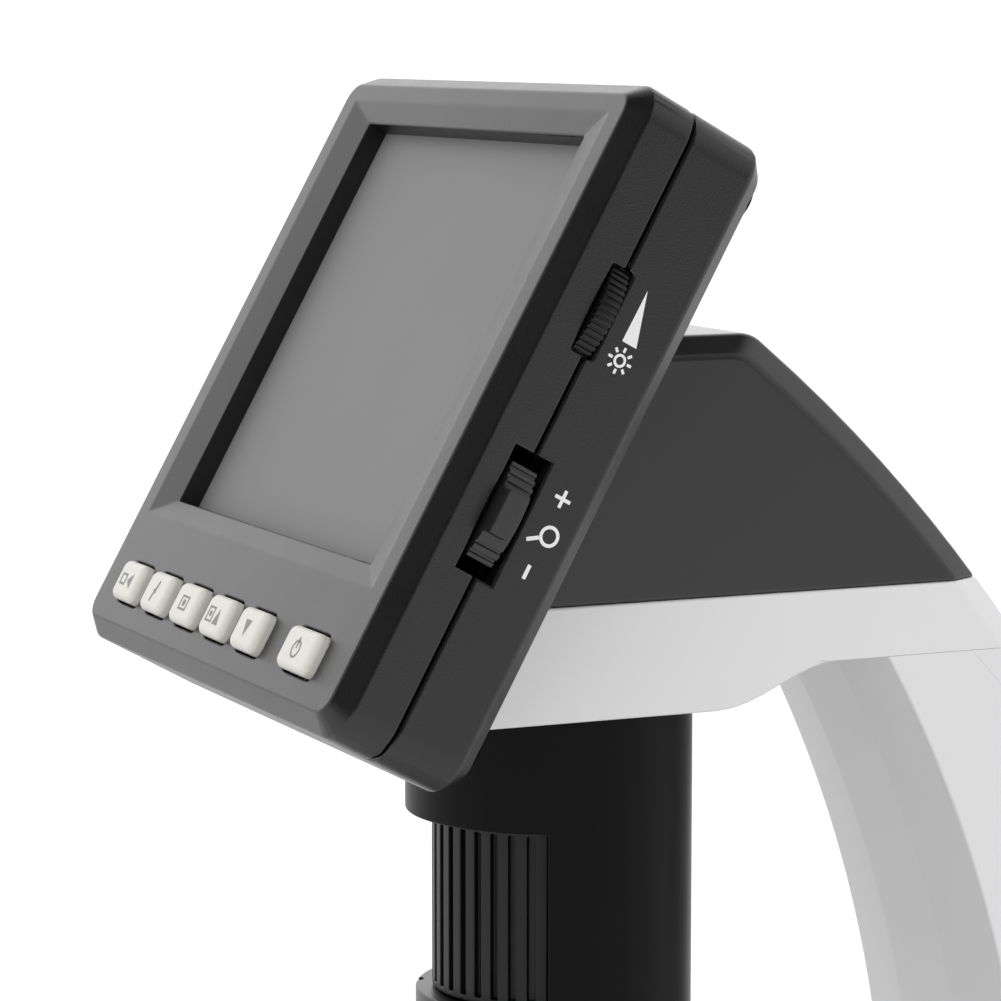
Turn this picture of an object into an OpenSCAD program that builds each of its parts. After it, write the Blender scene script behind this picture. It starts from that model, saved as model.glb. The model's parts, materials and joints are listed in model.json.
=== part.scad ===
// Desktop digital microscope with a tilting display, a lens column, a curved arm and a base.
// X runs to the user's right, Y to the back and Z up. The origin is on the table, under the middle.

/* [Display housing] */
// Width of the display housing
screen_w = 95.6; // [90:0.1:104]
// Height of the display housing, along its face
screen_h = 90.1; // [86:0.1:96]
// Thickness of the display housing
screen_t = 21.2; // [20:0.1:26]
// Lean of the display from upright, in degrees
screen_tilt = 29; // [20:1:35]
// Width of the slanted outer edges
edge_cut = 2.45; // [1:0.05:3]
// Depth of the line where the front and rear shells meet
parting_depth = 8.9; // [8.9:0.1:10]
// Radius of the housing's corners
corner_r = 5; // [3:0.5:8]
// Wall thickness of the plastic shells
wall = 2; // [1.6:0.1:2.4]

/* [Display opening] */
// Width of the visible display
display_w = 70.6; // [60:0.1:72]
// Height of the visible display
display_h = 60; // [45:0.1:62]
// Width of the sunk frame round the display
frame_w = 83.3; // [80:0.1:85]
// Height of the sunk frame round the display
frame_h = 66.2; // [64:0.1:67]

/* [Keys] */
// Width of a key
key_w = 8.3; // [8:0.1:10.2]
// Height of a key
key_h = 5.8; // [5:0.1:7]
// Distance between the grouped keys
key_pitch = 11.85; // [11.6:0.05:12]
// How far a key stands out of the face
key_proud = 1.5; // [1:0.1:2]

/* [Side controls] */
// Radius of the brightness wheel
wheel_r = 10; // [9:0.1:10.5]
// Number of grooves in the wheel's rim
wheel_grooves = 72; // [40:1:84]
// Radius of the zoom lever's rim
lever_r = 13; // [12:0.1:13.2]

/* [Head] */
// Width of the head and of the arm
head_w = 42; // [40:0.5:44]
// Height of the head's flat top
head_top = 170.7; // [169:0.1:171.5]
// Height of the seam between the black cover and the white housing
head_seam = 135.6; // [134:0.1:137]
// Height of the head's underside
head_bottom = 120.1; // [118:0.1:121]

/* [Lens column] */
// Outer radius of the column sleeve
column_r = 19.8; // [19:0.1:20]
// Half of the angle that the focus window spans, in degrees
window_half = 65; // [55:1:75]
// Outer radius of the focus ring
focus_r = 16.1; // [15:0.1:16.5]
// Number of ribs round the focus ring
focus_ribs = 38; // [24:1:48]

/* [Arm] */
// Radius of the arm's inner curve
arm_inner_r = 180; // [176:1:184]
// Radius of the arm's outer curve
arm_outer_r = 107; // [105:0.5:107]

/* [Base] */
// Width of the base
base_w = 110; // [104:1:120]
// Depth of the base
base_d = 150; // [150:1:160]
// Height of the base's top face
base_top = 24; // [22:0.5:25]

/* [Hidden] */
$fn = 96;
eps = 0.01;
rim_fn = 32;

// Display: x runs across it, y up along it and z out of its face, from the opening's centre.
screen_y = -43.5;
screen_z = 172;
screen_mid = -7;
rear_cut_depth = screen_t - 2.5;
frame_sink = 1.2;
face_wall = 3.2;
parting_gap = 0.35;
lip_reach = 1.4;
lip_gap = 0.05;
glass_depth = 4.1;
module_w = 76.9;
module_h = 63.9;
module_depth = 7;
board_depth = 11.6;
board_t = 1.6;
front_post_r = 2.8;
rear_post_r = 3.3;
post_x = 42.6;
post_rows = [31.4, -45.4];

key_y = -43.4;
key_first_x = -32.9;
power_x = 32.2;
power_extra = 1.6;
key_gap = 0.25;
key_flange = 0.6;
key_seat = 3.9;
key_board_depth = 6.2;
key_xs = concat([for (i = [0:4]) key_first_x + i * key_pitch], [power_x]);

wheel_stick_out = 1.3;
wheel_x = screen_w / 2 + wheel_stick_out - wheel_r;
wheel_y = 9.9;
wheel_depth = [7.2, 9.8];
wheel_gap = 0.5;
wheel_slot_t = 3.2;
lever_stick_out = 1;
lever_x = screen_w / 2 + lever_stick_out - lever_r;
lever_y = -17.9;
lever_depth = [6.8, 10.7];
lever_half = 30;
lever_slot = [16.7, 5.4];

// Hinge between the display and the head: its axis lies halfway across the gap behind the display.
hinge_gap = 8;
hinge_y = 6;
hinge_depth = screen_t + hinge_gap / 2;
hinge_pin_r = 1.5;
hinge_run = 0.05;
barrel_r = 3.4;
barrel_half = 10.7;
ear_half = [11, 14];

// Head: the front leans with the display, the rear slopes down into the arm.
rear_centre = [-136.2, -8.1];
rear_curve_r = 228;
head_bevel = 2.8;
top_bevel = 2.6;
rear_bevel = 3.8;
top_corner_r = 5;
rear_extra = 0.8;
head_half = head_w / 2;
beam_wall = 2.2;
beam_spill = 1;
beam_ramp = [-1, 18];
arm_seam = 125.8;

column_y = -16.2;
collar_bottom = 104.7;
sleeve_bottom = 66;
sleeve_wall = 1.3;
sleeve_top = head_bottom + beam_wall;
focus_z = [80, 104.4];
guide_r = 12.4;
guide_bore = 11.3;
guide_top = 118.5;
ring_top = 79.6;
ring_bottom = 60;
ring_r = column_r - sleeve_wall - 0.1;
led_count = 8;

inner_centre = [-131.6, 34];
outer_centre = [-32.3, 55.3];
arm_facet = 7.8;
arm_facet_sink = 1.8;
arm_wall = 2.4;
arm_split = 7;

base_bottom = 2;
base_r = 24;
base_wall = 2.4;
stage_y = column_y;
stage_w = 78;
stage_top = base_top + 3;
insert_r = 26;
clip_x = 31;
clip_y = 12;
clip_post_r = 2;
clip_reach = 38;

// ---------- Shared shapes ----------

module rounded_rect(w, h, r) {
    square([w - 2 * r, h], center = true);
    square([w, h - 2 * r], center = true);
    for (x = [-1, 1], y = [-1, 1])
        translate([x * (w / 2 - r), y * (h / 2 - r)]) circle(r, $fn = rim_fn);
}

module slab(w, h, r, low, high) {
    translate([0, 0, low]) linear_extrude(high - low) rounded_rect(w, h, r);
}

module box(w, h, low, high) {
    translate([-w / 2, -h / 2, low]) cube([w, h, high - low]);
}

module tube(outer, inner, low, high) {
    difference() {
        translate([0, 0, low]) cylinder(r = outer, h = high - low);
        translate([0, 0, low - 1]) cylinder(r = inner, h = high - low + 2);
    }
}

// A screw with a pan head, its point up along +Z from the head's seat
module screw(shaft_r, length, head_r, head_h) {
    cylinder(r = shaft_r, h = length, $fn = 32);
    difference() {
        translate([0, 0, -head_h]) cylinder(r = head_r, h = head_h, $fn = 32);
        for (a = [0, 90])
            rotate(a) translate([0, 0, -head_h]) cube([head_r * 1.1, 0.5, head_h], center = true);
    }
}

module on_screen() {
    translate([0, screen_y, screen_z]) rotate([90 - screen_tilt, 0, 0]) children();
}

// A shape drawn in the Y-Z plane, made w wide along X
module side_extrude(w) {
    rotate([90, 0, 90]) linear_extrude(w, center = true) children();
}

// ---------- Display housing ----------

module housing_slab(inset, low, high) {
    translate([0, screen_mid, 0])
        slab(screen_w - 2 * inset, screen_h - 2 * inset, corner_r - min(inset, 3), low, high);
}

module side_slots() {
    translate([wheel_x, wheel_y, -(wheel_depth[0] + wheel_depth[1]) / 2])
        cylinder(r = wheel_r + wheel_gap, h = wheel_slot_t, center = true);
    translate([screen_w / 2, lever_y, -(lever_depth[0] + lever_depth[1]) / 2])
        cube([6, lever_slot[0], lever_slot[1]], center = true);
}

module at_posts() {
    for (x = [-1, 1], y = post_rows) translate([x * post_x, y, 0]) children();
}

module sunk_frame() {
    hull() {
        box(frame_w, frame_h, 0, eps);
        box(display_w, display_h, -frame_sink, -frame_sink + eps);
    }
    box(display_w, display_h, -glass_depth - 1, 0);
}

module front_bezel() {
    color([0.16, 0.16, 0.17]) on_screen() difference() {
        union() {
            difference() {
                hull() {
                    housing_slab(0, -parting_depth + parting_gap / 2, -edge_cut);
                    housing_slab(edge_cut, -eps, 0);
                }
                housing_slab(wall, -parting_depth - 1, -face_wall);
            }
            box(display_w + 2.4, display_h + 2.4, -glass_depth, -frame_sink);
            at_posts() translate([0, 0, -parting_depth])
                cylinder(r = front_post_r, h = parting_depth - face_wall + eps, $fn = rim_fn);
        }
        sunk_frame();
        for (i = [0:5]) translate([key_xs[i], key_y, 0]) {
            extra = i == 5 ? power_extra : 0;
            slab(key_w + extra + 2 * key_gap, key_h + 2 * key_gap, 1.4, -face_wall - 1, 1);
        }
        side_slots();
        at_posts() translate([0, 0, -parting_depth - 1]) cylinder(r = 1.1, h = 5, $fn = rim_fn);
    }
}

// The tongue inside the rear shell that reaches into the front shell and closes the parting line
module shell_lip() {
    difference() {
        union() {
            housing_slab(wall - eps, -parting_depth - 2.5, -parting_depth - parting_gap / 2);
            housing_slab(wall + lip_gap, -parting_depth - 1, -parting_depth + lip_reach);
        }
        housing_slab(wall + 1, -parting_depth - 3, -parting_depth + lip_reach + 1);
        at_posts() translate([0, 0, -parting_depth])
            cylinder(r = front_post_r + lip_gap, h = 5, $fn = rim_fn);
    }
}

module rear_shell() {
    color([0.17, 0.17, 0.18]) on_screen() difference() {
        union() {
            difference() {
                hull() {
                    housing_slab(0, -rear_cut_depth, -parting_depth - parting_gap / 2);
                    housing_slab(screen_t - rear_cut_depth, -screen_t, -screen_t + eps);
                }
                housing_slab(wall, -screen_t + wall, -parting_depth + 1);
            }
            at_posts() translate([0, 0, -screen_t + wall - eps])
                cylinder(r = rear_post_r, h = screen_t - wall - parting_depth, $fn = rim_fn);
            shell_lip();
        }
        side_slots();
        at_posts() {
            translate([0, 0, -screen_t - 1]) cylinder(r = 1.3, h = screen_t, $fn = rim_fn);
            translate([0, 0, -screen_t - 1]) cylinder(r = 2.4, h = 6, $fn = rim_fn);
        }
        translate([-screen_w / 2, 8, -15.1]) cube([6, 12.4, 1.8], center = true);
        translate([-screen_w / 2, -14, -15.2]) cube([6, 8.2, 3.6], center = true);
    }
}

module display_screws() {
    color("silver") on_screen() at_posts()
        translate([0, 0, -screen_t + 5]) screw(1.05, 11, 2.2, 1.4);
}

module display_glass() {
    color([0.35, 0.36, 0.38]) on_screen() box(module_w, module_h, -glass_depth - 1.1, -glass_depth);
}

module display_panel() {
    color([0.1, 0.1, 0.12]) on_screen() box(module_w, module_h, -module_depth + 0.6, -glass_depth - 1.1);
}

module backlight_plate() {
    color("white") on_screen() box(module_w, module_h, -module_depth, -module_depth + 0.6);
}

module main_board() {
    color("darkgreen") on_screen() {
        translate([0, -1, 0]) box(84, 56, -board_depth - board_t, -board_depth);
        for (spot = [[-14, 12, 14], [8, -6, 10], [-12, -14, 8]])
            translate([spot[0], spot[1], 0]) box(spot[2], spot[2], -board_depth - eps, -board_depth + 1.2);
    }
}

module key_board() {
    color("darkgreen") on_screen() translate([1, key_y, 0])
        box(71, 10.5, -key_board_depth - 1.2, -key_board_depth);
}

module key_switches() {
    color("dimgray") on_screen() for (x = key_xs) translate([x - (x > 30 ? 1 : 0), key_y, -key_board_depth]) {
        box(4.5, 4.5, 0, 0.9);
        cylinder(r = 1.2, h = 1.45, $fn = rim_fn);
    }
}

module key_cap(index) {
    extra = index == 5 ? power_extra : 0;
    color([0.87, 0.86, 0.83]) on_screen() translate([key_xs[index], key_y, 0]) {
        hull() {
            slab(key_w + extra, key_h, 1.2, -face_wall - 0.3, key_proud - 0.5);
            slab(key_w + extra - 1, key_h - 1, 0.8, key_proud - eps, key_proud);
        }
        slab(key_w + extra + 2 * key_flange, key_h + 2 * key_flange, 1, -key_seat, -face_wall - 0.1);
    }
}

module key_1() { key_cap(0); }
module key_2() { key_cap(1); }
module key_3() { key_cap(2); }
module key_4() { key_cap(3); }
module key_5() { key_cap(4); }
module power_key() { key_cap(5); }

module brightness_wheel() {
    color([0.12, 0.12, 0.12]) on_screen() translate([wheel_x, wheel_y, -wheel_depth[1]]) difference() {
        cylinder(r = wheel_r, h = wheel_depth[1] - wheel_depth[0]);
        translate([0, 0, -1]) cylinder(r = 2.05, h = 5);
        for (i = [0:wheel_grooves - 1])
            rotate(i * 360 / wheel_grooves) translate([wheel_r, 0, 1]) cube([0.8, 0.36, 4], center = true);
    }
}

module wheel_control() {
    color("dimgray") on_screen() translate([wheel_x, wheel_y, 0]) {
        translate([-1, 0, 0]) box(7.6, 8, -board_depth, -wheel_depth[1] - 0.3);
        translate([0, 0, -wheel_depth[1] - 0.4]) cylinder(r = 2, h = 2.9);
    }
}

module lever_sector(inner, outer, low, high, half) {
    difference() {
        intersection() {
            translate([0, 0, -high]) cylinder(r = outer, h = high - low);
            translate([0, 0, -high - 1]) linear_extrude(high - low + 2)
                polygon([[0, 0], [40 * cos(half), -40 * sin(half)], [40, 0], [40 * cos(half), 40 * sin(half)]]);
        }
        if (inner > 0) translate([0, 0, -high - 1]) cylinder(r = inner, h = high - low + 2);
    }
}

module zoom_lever() {
    color([0.2, 0.2, 0.2]) on_screen() translate([lever_x, lever_y, 0]) difference() {
        union() {
            lever_sector(9, lever_r, lever_depth[0], lever_depth[1], lever_half);
            lever_sector(0, 9.5, 8, lever_depth[1], 14);
            translate([0, 0, -lever_depth[1]]) cylinder(r = 3, h = lever_depth[1] - 8);
            translate([lever_r - 1, -2.9, -9.6]) cube([2.6, 5.8, 2.8]);
        }
        translate([0, 0, -lever_depth[1] - 1]) cylinder(r = 1.55, h = 5);
        for (a = [-26, -20, 16, 21, 26])
            rotate(a) translate([lever_r, 0, -8]) cube([0.7, 0.5, 8], center = true);
    }
}

module zoom_switch() {
    color("dimgray") on_screen() translate([lever_x, lever_y, 0]) {
        box(8, 8, -board_depth, -lever_depth[1] - 0.2);
        translate([0, 0, -lever_depth[1] - 0.3]) cylinder(r = 1.5, h = 2.8);
    }
}

module card_socket() {
    color("silver") on_screen() translate([-screen_w / 2 + wall + 8, 8, 0]) difference() {
        box(15, 14, -board_depth - board_t - 2.3, -board_depth - board_t);
        translate([-4, 0, 0]) box(14, 11.4, -15.7, -14.5);
    }
}

module usb_socket() {
    color("silver") on_screen() translate([-screen_w / 2 + wall + 4.7, -14, 0]) difference() {
        box(9, 7.8, -board_depth - board_t - 3.9, -board_depth - board_t);
        translate([-2, 0, 0]) box(9, 6.8, -16.5, -13.8);
    }
}

// ---------- Hinge ----------

module at_hinge() {
    on_screen() translate([0, hinge_y, -hinge_depth]) rotate([0, 90, 0]) children();
}

module hinge_barrel() {
    color([0.15, 0.15, 0.15]) difference() {
        union() {
            at_hinge() translate([0, 0, -barrel_half]) cylinder(r = barrel_r, h = 2 * barrel_half);
            on_screen() translate([0, hinge_y, 0]) {
                box(2 * barrel_half, 4.4, -hinge_depth, -screen_t);
                box(2 * barrel_half, 15, -screen_t - 1, -screen_t);
            }
        }
        at_hinge() cylinder(r = hinge_pin_r + hinge_run, h = 50, center = true);
    }
}

module hinge_ears() {
    color([0.3, 0.3, 0.3]) for (side = [-1, 1]) difference() {
        union() {
            at_hinge() translate([0, 0, side * (ear_half[0] + ear_half[1]) / 2])
                cylinder(r = 3.6, h = ear_half[1] - ear_half[0], center = true);
            on_screen() translate([side * (ear_half[0] + ear_half[1]) / 2, hinge_y, 0])
                box(ear_half[1] - ear_half[0], 5, -hinge_depth - hinge_gap / 2, -hinge_depth);
            on_screen() translate([side * (ear_half[0] + 3.5), hinge_y, 0])
                box(7, 11, -hinge_depth - hinge_gap / 2, -hinge_depth - hinge_gap / 2 + 1.2);
        }
        at_hinge() cylinder(r = hinge_pin_r + 0.02, h = 50, center = true);
    }
}

module hinge_pin() {
    color("silver") at_hinge() cylinder(r = hinge_pin_r, h = 2 * ear_half[1] + 1.6, center = true);
}

// ---------- Head ----------

// Y of the head's front at height z, a fixed gap behind the display
function front_y(z) =
    screen_y + (z - screen_z) * tan(screen_tilt) + (screen_t + hinge_gap) / cos(screen_tilt);

// Y of the head's curved rear slope at height z, moved in by inset
function rear_y(z, inset = 0) =
    rear_centre[0] + sqrt(pow(rear_curve_r - inset, 2) - pow(z - rear_centre[1], 2));

// The rear slope as points, from high down to low
function rear_points(inset, high, low) =
    [for (i = [0:8]) let (z = high - i * (high - low) / 8) [rear_y(z, inset), z]];

function cover_outline(top_in, rear_in, low) =
    let (
        top = head_top - top_in,
        turn = top - top_corner_r * (1 - cos(45)),
        middle = [rear_y(turn, rear_in) - top_corner_r * sin(45), top - top_corner_r]
    ) concat(
        [[front_y(low), low], [front_y(top), top]],
        [for (a = [0:9:36]) middle + top_corner_r * [sin(a), cos(a)]],
        rear_points(rear_in, turn, low)
    );

module head_block(low) {
    hull() {
        side_extrude(head_w - 2 * head_bevel) polygon(cover_outline(0, 0, low));
        side_extrude(head_w) polygon(cover_outline(top_bevel, rear_bevel, low));
    }
}

// The hollow inside the cover: the same block moved in by one wall, open at the seam
module cover_hollow() {
    low = head_seam - 1;
    shift = beam_wall / cos(screen_tilt);
    top = head_top - beam_wall;
    hull() {
        side_extrude(head_w - 2 * beam_wall - 3) polygon(concat(
            [[front_y(low) + shift, low], [front_y(top) + shift, top]],
            rear_points(beam_wall + rear_extra, top, low)
        ));
        side_extrude(head_w - 2 * beam_wall) polygon(concat(
            [[front_y(low) + shift, low], [front_y(top - 2) + shift, top - 2]],
            rear_points(beam_wall + 2, top - 2, low)
        ));
    }
}

module head_cover() {
    color([0.13, 0.13, 0.13]) difference() {
        union() {
            difference() {
                head_block(head_seam);
                cover_hollow();
            }
            at_head_screws() translate([0, 0, head_seam]) cylinder(r = 3, h = 25, $fn = rim_fn);
        }
        at_head_screws() translate([0, 0, head_seam - 1]) cylinder(r = 1.3, h = 11, $fn = rim_fn);
    }
}

module at_head_screws() {
    for (x = [-14, 14]) translate([x, 10, 0]) children();
}

function beam_ramp_z(y) =
    head_bottom + (arm_seam - head_bottom)
        * (1 - cos(180 * (y - beam_ramp[0]) / (beam_ramp[1] - beam_ramp[0]))) / 2;

// Side outline of the white housing. Moved in by inset it runs out of the open top;
// with no inset it spills past the head block, which cuts it to shape.
function beam_outline(inset) =
    let (
        front = inset > 0 ? inset / cos(screen_tilt) : -beam_spill,
        rear = inset > 0 ? inset + rear_extra : -beam_spill,
        top = inset > 0 ? head_seam + beam_spill : head_seam
    ) concat(
        [[front_y(top) + front, top], [front_y(head_bottom + inset) + front, head_bottom + inset]],
        [for (i = [0:8]) let (y = beam_ramp[0] + i * (beam_ramp[1] - beam_ramp[0]) / 8)
            [y, beam_ramp_z(y) + inset]],
        [for (i = [0:4]) let (z = arm_seam + inset + i * (top - arm_seam - inset) / 4) [rear_y(z, rear), z]]
    );

module head_housing() {
    color([0.9, 0.9, 0.9]) difference() {
        union() {
            difference() {
                intersection() {
                    side_extrude(head_w + 2 * beam_spill) polygon(beam_outline(0));
                    head_block(head_bottom - beam_spill);
                }
                side_extrude(head_w - 2 * beam_wall) polygon(beam_outline(beam_wall));
            }
            at_head_screws() translate([0, 0, beam_ramp_z(10) - 0.5])
                cylinder(r = 3.6, h = head_seam - beam_ramp_z(10) + 0.5, $fn = rim_fn);
        }
        translate([0, column_y, head_bottom - 1]) cylinder(r = column_r + 0.05, h = beam_wall + 1.3);
        at_head_screws() {
            translate([0, 0, head_bottom - 1]) cylinder(r = 1.35, h = 20, $fn = rim_fn);
            translate([0, 0, head_bottom - 1]) cylinder(r = 2.5, h = 9, $fn = rim_fn);
        }
        at_arm_tops() translate([0, 0, arm_seam - 1]) cylinder(r = 1.35, h = 6, $fn = rim_fn);
    }
}

module head_screws() {
    color("silver") at_head_screws() translate([0, 0, head_bottom + 8]) screw(1.25, 17, 2.3, 1.6);
}

module battery_tray() {
    color([0.2, 0.2, 0.2]) difference() {
        translate([0, 3, 0]) box(head_w - 2 * beam_wall - 0.1, 54, head_seam + 0.4, head_seam + 1.6);
        at_head_screws() translate([0, 0, head_seam - 1]) cylinder(r = 3.1, h = 5, $fn = rim_fn);
    }
}

module battery_pack() {
    color("steelblue") translate([0, -6, 0]) slab(32, 22, 2, head_seam + 1.6, head_seam + 14);
}

module charge_board() {
    color("darkgreen") translate([0, -8, 0]) {
        box(30, 24, head_seam - 1.2, head_seam + 0.4);
        box(6, 10, head_seam - 4, head_seam - 1.2);
    }
}

// ---------- Lens column ----------

module on_column() {
    translate([0, column_y, 0]) children();
}

module column_sleeve() {
    color([0.08, 0.08, 0.08]) on_column() difference() {
        tube(column_r, column_r - sleeve_wall, sleeve_bottom, sleeve_top);
        translate([0, 0, sleeve_bottom - 1]) linear_extrude(collar_bottom - sleeve_bottom + 1)
            polygon([
                [0, 0], [50 * sin(-window_half), -50 * cos(window_half)], [0, -60],
                [50 * sin(window_half), -50 * cos(window_half)]
            ]);
    }
}

module lens_guide() {
    color([0.1, 0.1, 0.1]) on_column() difference() {
        union() {
            tube(guide_r, guide_bore, 68, guide_top);
            tube(column_r - sleeve_wall - 0.05, guide_bore, 114, 116.5);
        }
        for (side = [-1, 1]) translate([side * 12, 0, 95.5]) cube([4, 3.1, 21], center = true);
    }
}

module focus_ring() {
    color([0.2, 0.2, 0.2]) on_column() difference() {
        tube(focus_r, guide_r + 0.05, focus_z[0], focus_z[1]);
        for (i = [0:focus_ribs - 1])
            rotate(i * 360 / focus_ribs) translate([0, -focus_r, (focus_z[0] + focus_z[1]) / 2])
                cube([1.1, 2, focus_z[1] - focus_z[0] - 1.6], center = true);
    }
}

module lens_barrel() {
    color("dimgray") on_column() {
        difference() {
            union() {
                tube(guide_bore - 0.05, 8.6, 84, 108);
                for (side = [-1, 1]) translate([side * 11.4, 0, 95.5]) cube([1.8, 3, 4], center = true);
            }
            translate([0, 0, 80]) cylinder(r = 8.6, h = 40);
        }
        tube(9, 4, 94, 95);
    }
}

// A round lens with domed faces, its thickest point in the middle
module round_lens(r, edge, dome) {
    rotate_extrude() polygon(concat(
        [[0, -dome - edge / 2]],
        [for (i = [1:8]) [r * i / 8, -edge / 2 - dome * (1 - pow(i / 8, 2))]],
        [for (i = [8:-1:1]) [r * i / 8, edge / 2 + dome * (1 - pow(i / 8, 2))]],
        [[0, dome + edge / 2]]
    ));
}

module lens_front() {
    color([0.7, 0.8, 0.9, 0.5]) on_column() translate([0, 0, 87.5]) round_lens(8.55, 1.4, 1.2);
}

module lens_rear() {
    color([0.7, 0.8, 0.9, 0.5]) on_column() translate([0, 0, 104.5]) round_lens(8.55, 1.2, 0.8);
}

module sensor_board() {
    color("darkgreen") on_column() box(25, 25, guide_top, guide_top + 1.2);
}

module image_sensor() {
    color([0.1, 0.1, 0.15]) on_column() box(8, 8, guide_top - 1, guide_top);
}

module index_ring() {
    color([0.1, 0.1, 0.1]) on_column() difference() {
        union() {
            tube(ring_r, ring_r - 2, ring_bottom, ring_top);
            tube(ring_r - 1, guide_r + 0.04, 75, ring_top);
        }
        rotate(-32) translate([0, -ring_r, ring_top]) cube([1.2, 1.6, 6], center = true);
    }
}

module led_board() {
    color("white") on_column() tube(ring_r - 2.05, 7.5, 66, 67.4);
}

module leds() {
    color("khaki") on_column() for (i = [0:led_count - 1])
        rotate(i * 360 / led_count) translate([12, 0, 64]) cylinder(r = 2.2, h = 2, $fn = rim_fn);
}

module light_diffuser() {
    color([0.9, 0.9, 0.9, 0.6]) on_column() tube(ring_r - 2.05, 7.5, 60.6, 62.2);
}

// ---------- Arm ----------

module turned_about(centre) {
    translate([0, centre[0], centre[1]]) rotate([0, 90, 0]) rotate_extrude($fn = 200) children();
}

module arm_solid(inset, low, high) {
    slope = arm_facet_sink / (head_half - arm_facet);
    reach = 30;
    inner = arm_inner_r + inset;
    outer = arm_outer_r - inset;
    half = head_half - inset;
    difference() {
        intersection() {
            translate([-half, 0, low]) cube([2 * half, 90, high - low]);
            turned_about(outer_centre) polygon([
                [0, -half], [outer - rear_bevel, -half], [outer, -half + head_bevel],
                [outer, half - head_bevel], [outer - rear_bevel, half], [0, half]
            ]);
        }
        turned_about(inner_centre) polygon([
            [0, -reach], [inner + slope * (reach - arm_facet), -reach], [inner, -arm_facet],
            [inner, arm_facet], [inner + slope * (reach - arm_facet), reach], [0, reach]
        ]);
    }
}

module at_arm_tops() {
    for (x = [-10, 10]) translate([x, 37, 0]) children();
}

module at_arm_feet() {
    for (x = [-10, 10]) translate([x, 57, 0]) children();
}

module arm_shell() {
    difference() {
        union() {
            difference() {
                arm_solid(0, base_top, arm_seam);
                arm_solid(arm_wall, base_top + arm_wall, arm_seam - arm_wall);
            }
            at_arm_tops() translate([0, 0, arm_seam - 12]) cylinder(r = 3.4, h = 12, $fn = rim_fn);
            at_arm_feet() translate([0, 0, base_top]) cylinder(r = 3.4, h = 12, $fn = rim_fn);
        }
        at_arm_tops() translate([0, 0, arm_seam - 11]) cylinder(r = 1.3, h = 12, $fn = rim_fn);
        at_arm_feet() translate([0, 0, base_top - 1]) cylinder(r = 1.3, h = 12, $fn = rim_fn);
    }
}

module arm_split_drum() {
    translate([0, outer_centre[0], outer_centre[1]]) rotate([0, 90, 0])
        cylinder(r = arm_outer_r - arm_split, h = 60, center = true, $fn = 200);
}

module arm_front_shell() {
    color([0.88, 0.87, 0.88]) intersection() {
        arm_shell();
        arm_split_drum();
    }
}

module arm_back_shell() {
    color([0.85, 0.85, 0.86]) difference() {
        arm_shell();
        arm_split_drum();
    }
}

module arm_screws() {
    color("silver") {
        at_arm_tops() translate([0, 0, arm_seam + beam_wall]) mirror([0, 0, 1]) screw(1.25, 11, 2.6, 1.6);
        at_arm_feet() translate([0, 0, base_top - base_wall]) screw(1.25, 12, 2.6, 1.6);
    }
}

// ---------- Base ----------

module base_slab(inset, low, high) {
    slab(base_w - 2 * inset, base_d - 2 * inset, base_r - inset, low, high);
}

module at_base_posts() {
    for (x = [-1, 1], y = [-1, 1]) translate([x * 38, y * 58, 0]) children();
}

module base_housing() {
    color([0.9, 0.9, 0.9]) difference() {
        union() {
            difference() {
                hull() {
                    base_slab(1, base_bottom, base_bottom + eps);
                    base_slab(0, base_bottom + 2, base_top - 7);
                    base_slab(1.2, base_top - 3, base_top - 3 + eps);
                    base_slab(4.5, base_top - eps, base_top);
                }
                base_slab(4.6, base_bottom - 1, base_top - base_wall);
            }
            at_base_posts() translate([0, 0, base_bottom + 2]) cylinder(r = 4, h = 18, $fn = rim_fn);
        }
        base_slab(3, base_bottom - 1, base_bottom + 2);
        at_base_posts() translate([0, 0, base_bottom]) cylinder(r = 1.5, h = 14, $fn = rim_fn);
        at_arm_feet() translate([0, 0, base_top - 5]) cylinder(r = 1.35, h = 8, $fn = rim_fn);
    }
}

module base_plate() {
    color([0.2, 0.2, 0.2]) difference() {
        base_slab(3.1, base_bottom, base_bottom + 2);
        at_base_posts() translate([0, 0, base_bottom - 1]) cylinder(r = 1.7, h = 6, $fn = rim_fn);
    }
}

module base_weight() {
    color("gray") translate([0, -8, 0]) slab(66, 92, 6, base_bottom + 2, base_bottom + 8);
}

module base_screws() {
    color("silver") at_base_posts() translate([0, 0, base_bottom]) screw(1.45, 12, 3, 1.4);
}

module rubber_feet() {
    color([0.1, 0.1, 0.1]) for (x = [-1, 1], y = [-1, 1])
        translate([x * 38, y * 44, 0]) cylinder(r = 7, h = base_bottom);
}

module stage_plate() {
    color([0.12, 0.12, 0.12]) translate([0, stage_y, 0]) difference() {
        slab(stage_w, stage_w, 12, base_top, stage_top);
        translate([0, 0, stage_top - 1.6]) cylinder(r = insert_r + 0.1, h = 3);
    }
}

module stage_insert() {
    color("white") translate([0, stage_y, stage_top - 1.6]) cylinder(r = insert_r, h = 1.6);
}

module at_clip(side) {
    translate([side * clip_x, clip_y, stage_top]) children();
}

module clip_posts() {
    color("silver") for (side = [-1, 1]) at_clip(side) {
        cylinder(r = clip_post_r, h = 2.4);
        translate([0, 0, 1.9]) cylinder(r = 3.4, h = 1.4);
    }
}

// A spring clip: a round eye on its post, a flat arm over the stage and a lifted tip
module clip(side) {
    arm_t = 0.8;
    color("silver") at_clip(side) translate([0, 0, 0.6]) difference() {
        union() {
            cylinder(r = 4.4, h = arm_t);
            side_extrude(6) polygon([
                [0, 0], [0, arm_t], [-clip_reach, arm_t], [-clip_reach - 4, arm_t + 2.3],
                [-clip_reach - 4.4, arm_t + 1.6], [-clip_reach - 0.4, 0]
            ]);
        }
        translate([0, 0, -1]) cylinder(r = clip_post_r + 0.06, h = 4);
    }
}

module clip_left() { clip(-1); }
module clip_right() { clip(1); }

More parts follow.
